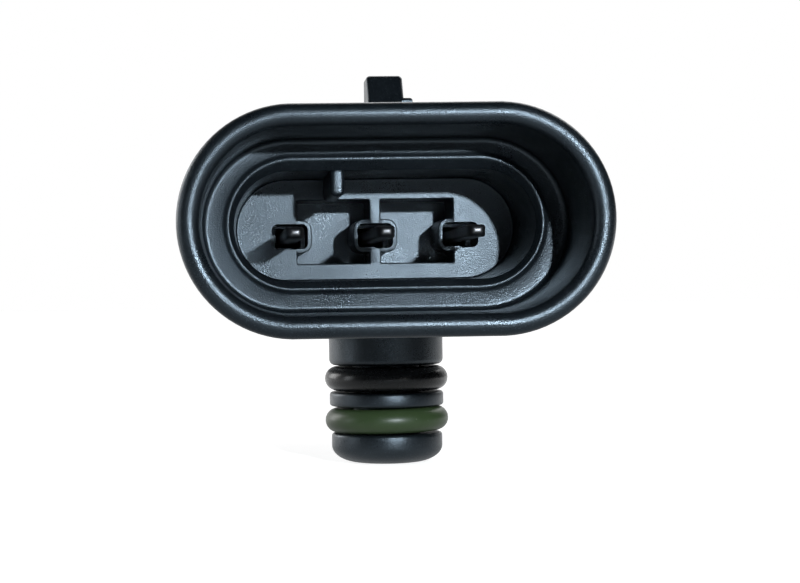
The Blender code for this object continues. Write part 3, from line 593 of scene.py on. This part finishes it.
def well_shapes(x, z, floor_y, chamber_front):
    """One contact's tube, and the cutters for its well and for the slot behind it."""
    outer = (WELL_SIZE[0] + 2 * WELL_WALL, WELL_SIZE[1] + 2 * WELL_WALL)
    tube = block((x - outer[0] / 2, floor_y + TUBE_SETBACK, z - outer[1] / 2),
                 (x + outer[0] / 2, chamber_front - TUBE_BACK, z + outer[1] / 2),
                 corner=WELL_CORNER + WELL_WALL, corner_axis=1, edge=TUBE_EDGE, low_end_only=True)
    well = well_mouth(x, z, WELL_SIZE, floor_y + WELL_SETBACK, WELL_DEPTH, WELL_CORNER, WELL_FLARE,
                      WELL_REACH)
    slot = block((x - SLOT_SIZE[0] / 2, floor_y + SLOT_SETBACK, z - SLOT_SIZE[1] / 2),
                 (x + SLOT_SIZE[0] / 2, chamber_front + SEAT_GAP, z + SLOT_SIZE[1] / 2))
    return tube, [well, slot]


def build_moulding(sizes, port, steps):
    """The one-piece housing, from its header to its ear."""
    floor_y = RIM_FRONT + sizes.floor_depth
    body_front = floor_y + BODY_SETBACK
    chamber_front = BOARD_LOW.y - SEAT_GAP
    chamber_back = BOARD_HIGH.y + SEAT_GAP
    chamber_half = (BOARD_HIGH.x - BOARD_LOW.x) / 2 + SEAT_GAP
    body_back = chamber_back + BACK_WALL
    half = chamber_half + BODY_WALL
    top = COVER_HIGH.z
    moulding = new_object("housing_moulding", header_shape(sizes, steps))

    body = block((MIDDLE - half, body_front, BODY_LIFT), (MIDDLE + half, body_back, top), corner=BODY_CORNER,
                 corner_steps=8, edge=BODY_EDGE, edge_steps=4)
    mouth_top = MOUTH_Z + sizes.mouth_height / 2
    key = block((MIDDLE + KEY_OFFSET - KEY_WIDTH / 2, RIM_FRONT + sizes.collar_setback + LIP_DEPTH,
                 mouth_top - KEY_DROP),
                (MIDDLE + KEY_OFFSET + KEY_WIDTH / 2, floor_y + KEY_SINK, mouth_top + KEY_ROOT),
                corner=KEY_WIDTH * KEY_ROUND, corner_axis=1, corner_steps=6, edge=KEY_EDGE, edge_steps=5)
    added = [body, port_shape(port), key] + latch_shapes()
    added += ear_shapes(body_front + PAD_SETBACK, body_back)

    centres = {side: (low.x + high.x) / 2 for side, (low, high) in TERMINALS.items()}
    contact_z = TERMINALS["middle"][1].z - CONTACT_HALF
    cores = core_shapes(floor_y, abs(centres["right"] - MIDDLE) - CORE_UNDER)
    tubes = []
    wells = []
    for x in centres.values():
        tube, cutters = well_shapes(x, contact_z, floor_y, chamber_front)
        tubes.append(tube)
        wells += cutters

    channel_z = GASKET_LOW.z / 2
    chamber = block((MIDDLE - chamber_half, chamber_front, GASKET_LOW.z),
                    (MIDDLE + chamber_half, chamber_back, top + SEAT_GAP), corner=BODY_CORNER - BODY_WALL)
    rebate = block((MIDDLE - chamber_half - REBATE_LEDGE, chamber_front - REBATE_LEDGE, BEAD_LOW.z),
                   (MIDDLE + chamber_half + REBATE_LEDGE, chamber_back + REBATE_LEDGE, top + SEAT_GAP),
                   corner=BODY_CORNER - BODY_WALL + REBATE_LEDGE, corner_steps=8)
    drills = [
        rod((0.0, 0.0, NOSE_Z - SEAT_GAP), (0.0, 0.0, channel_z + BORE_PAST_CHANNEL), port.bore_radius),
        rod((0.0, 0.0, channel_z), (SENSE.x, SENSE.y, channel_z), CHANNEL_RADIUS),
        rod((SENSE.x, SENSE.y, channel_z), (SENSE.x, SENSE.y, GASKET_LOW.z + SEAT_GAP), SENSE_RADIUS),
        rod((MIDDLE, EAR_Y, -SEAT_GAP), (MIDDLE, EAR_Y, EAR_THICKNESS + SEAT_GAP),
            (LIMITER_HIGH.x - LIMITER_LOW.x) / 2 + SLEEVE_GAP, steps=72),
    ]
    apply_booleans(moulding, [("UNION", added), ("DIFFERENCE", cores), ("UNION", tubes),
                              ("DIFFERENCE", wells), ("DIFFERENCE", [chamber, rebate] + drills)])
    return moulding


# Finishes

def add_node(tree, kind, values=None, links=None, **options):
    """Add a shader node with its options, input values and links."""
    node = tree.nodes.new(kind)
    for name, value in options.items():
        setattr(node, name, value)
    for socket, value in (values or {}).items():
        node.inputs[socket].default_value = value
    for socket, source in (links or {}).items():
        tree.links.new(source, node.inputs[socket])
    return node


def math_node(tree, operation, *inputs):
    """Add a Math node fed by sockets or plain numbers, and give its output."""
    node = add_node(tree, "ShaderNodeMath", operation=operation)
    for place, value in enumerate(inputs):
        if isinstance(value, bpy.types.NodeSocket):
            tree.links.new(value, node.inputs[place])
        else:
            node.inputs[place].default_value = value
    return node.outputs[0]


def new_group(name, inputs, outputs):
    """An empty shader node group with named float, colour or vector sockets."""
    group = bpy.data.node_groups.new(name, "ShaderNodeTree")
    for label, kind, default in inputs:
        socket = group.interface.new_socket(name=label, in_out="INPUT", socket_type=f"NodeSocket{kind}")
        if default is not None:
            socket.default_value = default
    for label, kind in outputs:
        group.interface.new_socket(name=label, in_out="OUTPUT", socket_type=f"NodeSocket{kind}")
    start = group.nodes.new("NodeGroupInput")
    end = group.nodes.new("NodeGroupOutput")
    return group, start, end


def grain_group():
    """Moulded grain: a fine bump height, a roughness that changes with it, pale specks and soft clouds."""
    group, start, end = new_group(
        "moulded_grain",
        [("Vector", "Vector", None), ("Grain size", "Float", 4200.0), ("Roughness", "Float", 0.45),
         ("Roughness spread", "Float", 0.1), ("Speck share", "Float", 0.62)],
        [("Height", "Float"), ("Roughness", "Float"), ("Specks", "Float"), ("Cloud", "Float")])
    vector = start.outputs["Vector"]
    grain_size = start.outputs["Grain size"]
    fine = add_node(group, "ShaderNodeTexNoise", {"Detail": 3.0, "Roughness": 0.6},
                    {"Vector": vector, "Scale": grain_size})
    cloud = add_node(group, "ShaderNodeTexNoise", {"Scale": 260.0, "Detail": 4.0, "Roughness": 0.55},
                     {"Vector": vector})
    cells = add_node(group, "ShaderNodeTexVoronoi", {"Randomness": 1.0},
                     {"Vector": vector, "Scale": grain_size}, feature="F1")
    height = math_node(group, "SUBTRACT", fine.outputs["Fac"], 0.5)
    bumps = math_node(group, "ADD", height, cells.outputs["Distance"])
    centred = math_node(group, "SUBTRACT", cloud.outputs["Fac"], 0.5)
    mixed = math_node(group, "ADD", centred, height)
    rough = math_node(group, "MULTIPLY_ADD", mixed, start.outputs["Roughness spread"],
                      start.outputs["Roughness"])
    specks = add_node(group, "ShaderNodeMapRange", {"From Max": 0.75, "To Min": 0.0, "To Max": 1.0},
                      {"Value": fine.outputs["Fac"], "From Min": start.outputs["Speck share"]}, clamp=True)
    group.links.new(bumps, end.inputs["Height"])
    group.links.new(rough, end.inputs["Roughness"])
    group.links.new(specks.outputs["Result"], end.inputs["Specks"])
    group.links.new(cloud.outputs["Fac"], end.inputs["Cloud"])
    return group


def finish_material(name, base, roughness, grain, spread=0.1, bump=0.02, grain_size=4200.0,
                    speck_colour=None, speck_share=0.62, **sockets):
    """A Principled finish whose colour, roughness and bump (in millimetres) come from the grain group."""
    made = bpy.data.materials.new(name)
    made.use_nodes = True
    tree = made.node_tree
    shader = tree.nodes["Principled BSDF"]
    for socket, value in sockets.items():
        label = socket.replace("_", " ").title().replace("Ior", "IOR")
        shader.inputs[label].default_value = value
    coordinates = add_node(tree, "ShaderNodeTexCoord")
    group = add_node(tree, "ShaderNodeGroup", node_tree=grain)
    tree.links.new(coordinates.outputs["Object"], group.inputs["Vector"])
    group.inputs["Grain size"].default_value = grain_size
    group.inputs["Roughness"].default_value = roughness
    group.inputs["Roughness spread"].default_value = spread
    group.inputs["Speck share"].default_value = speck_share
    darker = tuple(channel * 0.8 for channel in base)
    clouded = add_node(tree, "ShaderNodeMix", data_type="RGBA")
    clouded.inputs[6].default_value = (*darker, 1.0)
    clouded.inputs[7].default_value = (*base, 1.0)
    tree.links.new(group.outputs["Cloud"], clouded.inputs[0])
    colour_out = clouded.outputs[2]
    if speck_colour:
        specked = add_node(tree, "ShaderNodeMix", data_type="RGBA")
        tree.links.new(group.outputs["Specks"], specked.inputs[0])
        tree.links.new(colour_out, specked.inputs[6])
        specked.inputs[7].default_value = (*speck_colour, 1.0)
        colour_out = specked.outputs[2]
    tree.links.new(colour_out, shader.inputs["Base Color"])
    tree.links.new(group.outputs["Roughness"], shader.inputs["Roughness"])
    bumped = add_node(tree, "ShaderNodeBump", {"Strength": 1.0, "Distance": bump * MM},
                      {"Height": group.outputs["Height"]})
    tree.links.new(bumped.outputs["Normal"], shader.inputs["Normal"])
    return made


def make_finishes():
    """Every finish of the sensor, by slot."""
    colours = settings().colours
    grain = grain_group()
    return {
        "housing_plastic": finish_material(
            "glass_filled_plastic", tuple(colours.moulding), 0.33, grain, spread=0.34, bump=0.0085,
            grain_size=12000.0, speck_colour=(0.05, 0.06, 0.07), speck_share=0.60, ior=1.70,
            specular_tint=(0.74, 0.88, 1.0, 1.0)),
        "black_rubber": finish_material(
            "black_seal_rubber", tuple(colours.black_ring), 0.28, grain, spread=0.12, bump=0.003,
            grain_size=2600.0, speck_colour=(0.09, 0.09, 0.09), speck_share=0.70, ior=1.5),
        "green_rubber": finish_material(
            "olive_seal_rubber", tuple(colours.green_ring), 0.38, grain, spread=0.10, bump=0.003,
            grain_size=2600.0, speck_colour=(0.13, 0.16, 0.10), speck_share=0.70, ior=1.5),
        "contact_metal": finish_material(
            "tinned_contact", tuple(colours.contact), 0.42, grain, spread=0.25, bump=0.004,
            grain_size=3000.0, metallic=1.0),
        "cover_plastic": finish_material(
            "lid_plastic", (0.018, 0.022, 0.027), 0.5, grain, spread=0.12, bump=0.012, grain_size=3800.0,
            ior=1.55),
        "adhesive": finish_material("lid_adhesive", (0.05, 0.05, 0.055), 0.5, grain, bump=0.01),
        "limiter_steel": finish_material(
            "zinc_plated_steel", (0.52, 0.53, 0.54), 0.34, grain, spread=0.3, bump=0.006,
            grain_size=2400.0, metallic=1.0),
        "potting": finish_material("potting_epoxy", (0.02, 0.02, 0.022), 0.25, grain, bump=0.004),
        "board": finish_material("board_coating", (0.02, 0.10, 0.045), 0.35, grain, bump=0.006),
        "gasket_rubber": finish_material("gasket_silicone", (0.16, 0.05, 0.03), 0.5, grain, bump=0.004),
        "solder": finish_material("solder_joint", (0.55, 0.55, 0.54), 0.28, grain, bump=0.006, metallic=1.0),
        "glass": finish_material("ground_glass", (0.70, 0.76, 0.76), 0.3, grain, bump=0.002),
        "silicon": finish_material("die_silicon", (0.10, 0.11, 0.14), 0.18, grain, bump=0.001, metallic=0.6),
        "dam_plastic": finish_material("dam_moulding", (0.04, 0.04, 0.045), 0.5, grain, bump=0.006),
        "gel": finish_material("silicone_gel", (0.55, 0.57, 0.57), 0.12, grain, bump=0.002),
        "chip_plastic": finish_material("chip_moulding", (0.018, 0.018, 0.02), 0.55, grain, bump=0.006),
        "chip_ceramic": finish_material("capacitor_ceramic", (0.40, 0.29, 0.19), 0.45, grain, bump=0.004),
        "resistor_body": finish_material("resistor_film", (0.03, 0.03, 0.04), 0.35, grain, bump=0.003),
    }


FINISHES = {}


def finish(slot):
    """The material of a slot, made with all the others at the first call."""
    if not FINISHES:
        FINISHES.update(make_finishes())
    return FINISHES[slot]


# Contacts, lid and sleeve
CONTACT_EDGE = 0.15 * MM
CONTACT_FOLD = math.radians(50.0)
CONTACT_FLAT = math.radians(1.0)
LID_CORNER = 1.9 * MM
LID_EDGE = 0.25 * MM
SLEEVE_WALL = 1.3 * MM
SLEEVE_EDGE = 0.3 * MM


# Operators

class SENSOR_OT_moulding(bpy.types.Operator):
    """Build the housing with its header, body, port and ear"""
    bl_idname = "sensor.moulding"
    bl_label = "Housing"

    def execute(self, context):
        held = settings()
        moulding = build_moulding(held.header, held.port, held.stage.arc_steps)
        finish_piece(moulding, "housing", finish("housing_plastic"))
        flatten_normals(moulding)
        return {"FINISHED"}


class SENSOR_OT_rings(bpy.types.Operator):
    """Build the two sealing rings of the port"""
    bl_idname = "sensor.rings"
    bl_label = "Sealing rings"

    def execute(self, context):
        cord = settings().port.cord
        places = (("upper_o_ring", "black_rubber", UPPER_RING_LOW, UPPER_RING_HIGH),
                  ("lower_o_ring", "green_rubber", LOWER_RING_LOW, LOWER_RING_HIGH))
        for node, slot, low, high in places:
            radius = (high.x - low.x) / 2 - cord / 2
            tilt = math.asin(max(high.z - low.z - cord, 0.0) / (high.x - low.x - cord))
            round_cord = arc((radius, 0.0), (cord / 2, cord / 2), 0, 360 - 360 / CORD_STEPS, CORD_STEPS - 1)
            shape = turned(round_cord, RING_STEPS, closed=True)
            where = Matrix.Translation((low + high) / 2) @ Matrix.Rotation(-tilt, 4, "Y")
            bmesh.ops.transform(shape, matrix=where, verts=shape.verts)
            ring = new_object(f"{node}_cord", shape)
            finish_piece(ring, node, finish(slot), angle=60.0)
        return {"FINISHED"}


class SENSOR_OT_contacts(bpy.types.Operator):
    """Build the three blade contacts from their solids, with rounded edges"""
    bl_idname = "sensor.contacts"
    bl_label = "Contacts"

    def execute(self, context):
        for side, (low, high) in TERMINALS.items():
            node = f"terminal_{side}"
            shape = bmesh.new()
            shape.from_mesh(frame["nodes"][node].data)
            bmesh.ops.remove_doubles(shape, verts=shape.verts, dist=TINY)
            bmesh.ops.dissolve_limit(shape, angle_limit=CONTACT_FLAT, verts=shape.verts, edges=shape.edges)
            folds = [e for e in shape.edges if e.calc_face_angle(0.0) > CONTACT_FOLD]
            bevel(shape, folds, CONTACT_EDGE, 4)
            blade = new_object(f"{node}_blade", shape)
            finish_piece(blade, node, finish("contact_metal"))
            flatten_normals(blade)
        return {"FINISHED"}


class SENSOR_OT_cover(bpy.types.Operator):
    """Build the lid and the steel sleeve"""
    bl_idname = "sensor.cover"
    bl_label = "Lid and sleeve"

    def execute(self, context):
        lid = new_object("lid", block(COVER_LOW, COVER_HIGH, corner=LID_CORNER, corner_steps=8,
                                      edge=LID_EDGE, edge_steps=4))
        finish_piece(lid, "cover", finish("cover_plastic"))
        flatten_normals(lid)
        outer = (LIMITER_HIGH.x - LIMITER_LOW.x) / 2
        inner = outer - SLEEVE_WALL
        edge = SLEEVE_EDGE
        low, high = LIMITER_LOW.z, LIMITER_HIGH.z
        profile = arc((inner + edge, low + edge), (edge, edge), 180, 270, 4)
        profile += arc((outer - edge, low + edge), (edge, edge), 270, 360, 4)
        profile += arc((outer - edge, high - edge), (edge, edge), 0, 90, 4)
        profile += arc((inner + edge, high - edge), (edge, edge), 90, 180, 4)
        sleeve = new_object("sleeve", turned(profile, TURN_STEPS, centre=(MIDDLE, EAR_Y), closed=True))
        finish_piece(sleeve, "compression_limiter", finish("limiter_steel"))
        flatten_normals(sleeve)
        return {"FINISHED"}


class SENSOR_OT_inside(bpy.types.Operator):
    """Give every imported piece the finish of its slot; the ones replaced later are then hidden"""
    bl_idname = "sensor.inside"
    bl_label = "Inside"

    def execute(self, context):
        slots = {entry["node"]: entry["material_slot"] for entry in frame["record"]["subparts"]}
        for name, node in frame["nodes"].items():
            node.data.materials.clear()
            node.data.materials.append(finish(slots[name]))
        return {"FINISHED"}


# Camera: left of the header's middle, well before it and just above the seat's plane; its turn in degrees
EYE = Vector((MIDDLE - 11.0 * MM, RIM_FRONT + RIM_ROLL - 110.0 * MM, 2.75 * MM))
CAMERA_SHIFT = (0.125, -0.0071)
CAMERA_YAW = -2.6
CAMERA_PITCH = 0.27
CAMERA_ROLL = -0.9
CLIP_START = 5.0 * MM

# Small key above the camera and to its right, at the camera's own distance
KEY_PLACE = (MIDDLE + 30.0 * MM, EYE.y, 28.5 * MM)
KEY_TARGET = (MIDDLE, RIM_FRONT + 5.0 * MM, 5.0 * MM)
KEY_TINT = (0.84, 0.93, 1.0)
KEY_LAMP_SIZE = 4.0 * MM

# Soft lamps in millimetres and watts: name, place, target, power, tint, width and height.
# The two at the back light the edges and the top, and the header's mouth doesn't see them.
WHITE = (1.0, 1.0, 1.0)
PORT_TARGET = (0.0, 0.0, -4.0)
BODY_TARGET = (0.0, 10.0, 5.0)
SOFT_LAMPS = (
    ("left_strip", (-198.0, -26.0, 10.0), PORT_TARGET, 0.065, (0.92, 0.96, 1.0), 45.0, 160.0),
    ("right_soft", (90.0, -170.0, 20.0), PORT_TARGET, 0.004, (1.0, 0.97, 0.92), 30.0, 60.0),
    ("back_soft", (120.0, 240.0, 200.0), BODY_TARGET, 0.26, WHITE, 260.0, 160.0),
    ("back_left", (-220.0, 160.0, 90.0), BODY_TARGET, 0.24, WHITE, 120.0, 160.0),
)

# Floor: half its side, its gap under the nose, its grey, and the distances over which its glow rises
FLOOR_HALF = 1.5
FLOOR_GAP = 0.02 * MM
FLOOR_GREY = 0.5
GLOW_NEAR = 0.06
GLOW_FAR = 0.25

# Where the white that gloss and glass see begins and is full: floor in metres, room as a direction
FLOOR_BEHIND = (-0.02, 0.03)
ROOM_BEHIND = (0.5, 0.95)


def lamp(name, place, target, power, tint=WHITE, **options):
    """An area lamp at a place, aimed at a target."""
    data = bpy.data.lights.new(name, "AREA")
    data.energy = power
    data.color = tint
    for option, value in options.items():
        setattr(data, option, value)
    made = bpy.data.objects.new(name, data)
    made.location = place
    made.rotation_euler = (Vector(target) - Vector(place)).to_track_quat("-Z", "Y").to_euler()
    bpy.context.scene.collection.objects.link(made)


def map_range(tree, source, low, high, start, end):
    """Add a clamped Map Range node from low..high to start..end, and give its output."""
    node = add_node(tree, "ShaderNodeMapRange",
                    {"From Min": low, "From Max": high, "To Min": start, "To Max": end},
                    {"Value": source}, clamp=True)
    return node.outputs["Result"]


def shown_white(tree, coordinate, limits):
    """One for every camera ray, and behind the object for glossy and transmission rays too."""
    parts = add_node(tree, "ShaderNodeSeparateXYZ", None, {0: coordinate})
    behind = map_range(tree, parts.outputs["Y"], *limits, 0.0, 1.0)
    path = add_node(tree, "ShaderNodeLightPath")
    rays = math_node(tree, "MAXIMUM", path.outputs["Is Glossy Ray"], path.outputs["Is Transmission Ray"])
    mirrored = math_node(tree, "MULTIPLY", behind, rays)
    return math_node(tree, "MAXIMUM", mirrored, path.outputs["Is Camera Ray"])


def build_floor(glow):
    """A pale floor under the port's nose, which keeps a faint shadow near the object."""
    shape = bmesh.new()
    bmesh.ops.create_grid(shape, x_segments=1, y_segments=1, size=FLOOR_HALF,
                          matrix=Matrix.Translation((0.0, 0.0, NOSE_Z - FLOOR_GAP)))
    floor = new_object("stage_floor", shape)
    pale = bpy.data.materials.new("stage_white")
    pale.use_nodes = True
    tree = pale.node_tree
    shader = tree.nodes["Principled BSDF"]
    shader.inputs["Base Color"].default_value = (FLOOR_GREY, FLOOR_GREY, FLOOR_GREY, 1.0)
    shader.inputs["Roughness"].default_value = 1.0
    shader.inputs["Emission Color"].default_value = (*WHITE, 1.0)
    place = add_node(tree, "ShaderNodeTexCoord").outputs["Object"]
    distance = add_node(tree, "ShaderNodeVectorMath", None, {0: place}, operation="LENGTH")
    rise = map_range(tree, distance.outputs["Value"], GLOW_NEAR, GLOW_FAR, glow, 1.0)
    strength = math_node(tree, "MULTIPLY", rise, shown_white(tree, place, FLOOR_BEHIND))
    tree.links.new(strength, shader.inputs["Emission Strength"])
    floor.data.materials.append(pale)


def build_surroundings(scene, ambient):
    """White to the camera and in what mirrors the far side, and a dim light on the object."""
    world = bpy.data.worlds.new("surroundings")
    scene.world = world
    world.use_nodes = True
    tree = world.node_tree
    tree.nodes.clear()
    end = tree.nodes.new("ShaderNodeOutputWorld")
    background = add_node(tree, "ShaderNodeBackground", {"Color": (*WHITE, 1.0)})
    tree.links.new(background.outputs[0], end.inputs["Surface"])
    direction = add_node(tree, "ShaderNodeTexCoord").outputs["Generated"]
    backdrop = shown_white(tree, direction, ROOM_BEHIND)
    path = add_node(tree, "ShaderNodeLightPath")
    unmirrored = math_node(tree, "SUBTRACT", 1.0, path.outputs["Is Glossy Ray"])
    dim = math_node(tree, "MULTIPLY", unmirrored, ambient)
    tree.links.new(math_node(tree, "MAXIMUM", backdrop, dim), background.inputs["Strength"])


class SENSOR_OT_stage(bpy.types.Operator):
    """Set the floor, the lamps, the white surroundings and the camera"""
    bl_idname = "sensor.stage"
    bl_label = "Stage"

    def execute(self, context):
        held = settings().stage
        scene = context.scene
        scene.view_settings.view_transform = "Standard"
        build_floor(held.floor_glow)
        build_surroundings(scene, held.ambient)

        lamp("key", KEY_PLACE, KEY_TARGET, held.key_power, tint=KEY_TINT, shape="DISK", size=KEY_LAMP_SIZE)
        for name, place, target, power, tint, width, height in SOFT_LAMPS:
            lamp(name, Vector(place) * MM, Vector(target) * MM, power, tint=tint, shape="RECTANGLE",
                 size=width * MM, size_y=height * MM)

        camera_data = bpy.data.cameras.new("camera")
        camera_data.lens = held.lens
        camera_data.shift_x, camera_data.shift_y = CAMERA_SHIFT
        camera_data.clip_start = CLIP_START
        camera_data.dof.use_dof = False
        camera = bpy.data.objects.new("camera", camera_data)
        camera.location = EYE
        level = Euler((math.pi / 2 + math.radians(CAMERA_PITCH), 0.0, math.radians(CAMERA_YAW))).to_matrix()
        rolled = level @ Matrix.Rotation(math.radians(CAMERA_ROLL), 3, "Z")
        camera.rotation_euler = rolled.to_euler()
        scene.collection.objects.link(camera)
        scene.camera = camera
        return {"FINISHED"}


class SensorSettings(bpy.types.PropertyGroup):
    """All values of the sensor."""
    header: PointerProperty(type=HeaderSizes)
    port: PointerProperty(type=PortSizes)
    colours: PointerProperty(type=FinishColours)
    stage: PointerProperty(type=StageSettings)


OPERATORS = (SENSOR_OT_inside, SENSOR_OT_moulding, SENSOR_OT_rings, SENSOR_OT_contacts, SENSOR_OT_cover,
             SENSOR_OT_stage)


class SENSOR_PT_panel(bpy.types.Panel):
    """Sidebar panel of the sensor"""
    bl_label = "Intake pressure sensor"
    bl_idname = "SENSOR_PT_panel"
    bl_space_type = "VIEW_3D"
    bl_region_type = "UI"
    bl_category = "Sensor"

    def draw(self, context):
        held = context.scene.intake_sensor
        for group in (held.header, held.port, held.colours, held.stage):
            box = self.layout.box()
            for name in group.__annotations__:
                box.prop(group, name)
        for operator in OPERATORS:
            self.layout.operator(operator.bl_idname)


CLASSES = (HeaderSizes, PortSizes, FinishColours, StageSettings, SensorSettings, *OPERATORS, SENSOR_PT_panel)


def register():
    for item in CLASSES:
        bpy.utils.register_class(item)
    bpy.types.Scene.intake_sensor = PointerProperty(type=SensorSettings)


def unregister():
    del bpy.types.Scene.intake_sensor
    for item in reversed(CLASSES):
        bpy.utils.unregister_class(item)


def main():
    """Build the sensor and its stage."""
    register()
    for operator in OPERATORS:
        group, name = operator.bl_idname.split(".")
        getattr(getattr(bpy.ops, group), name)()


if __name__ == "__main__":
    main()
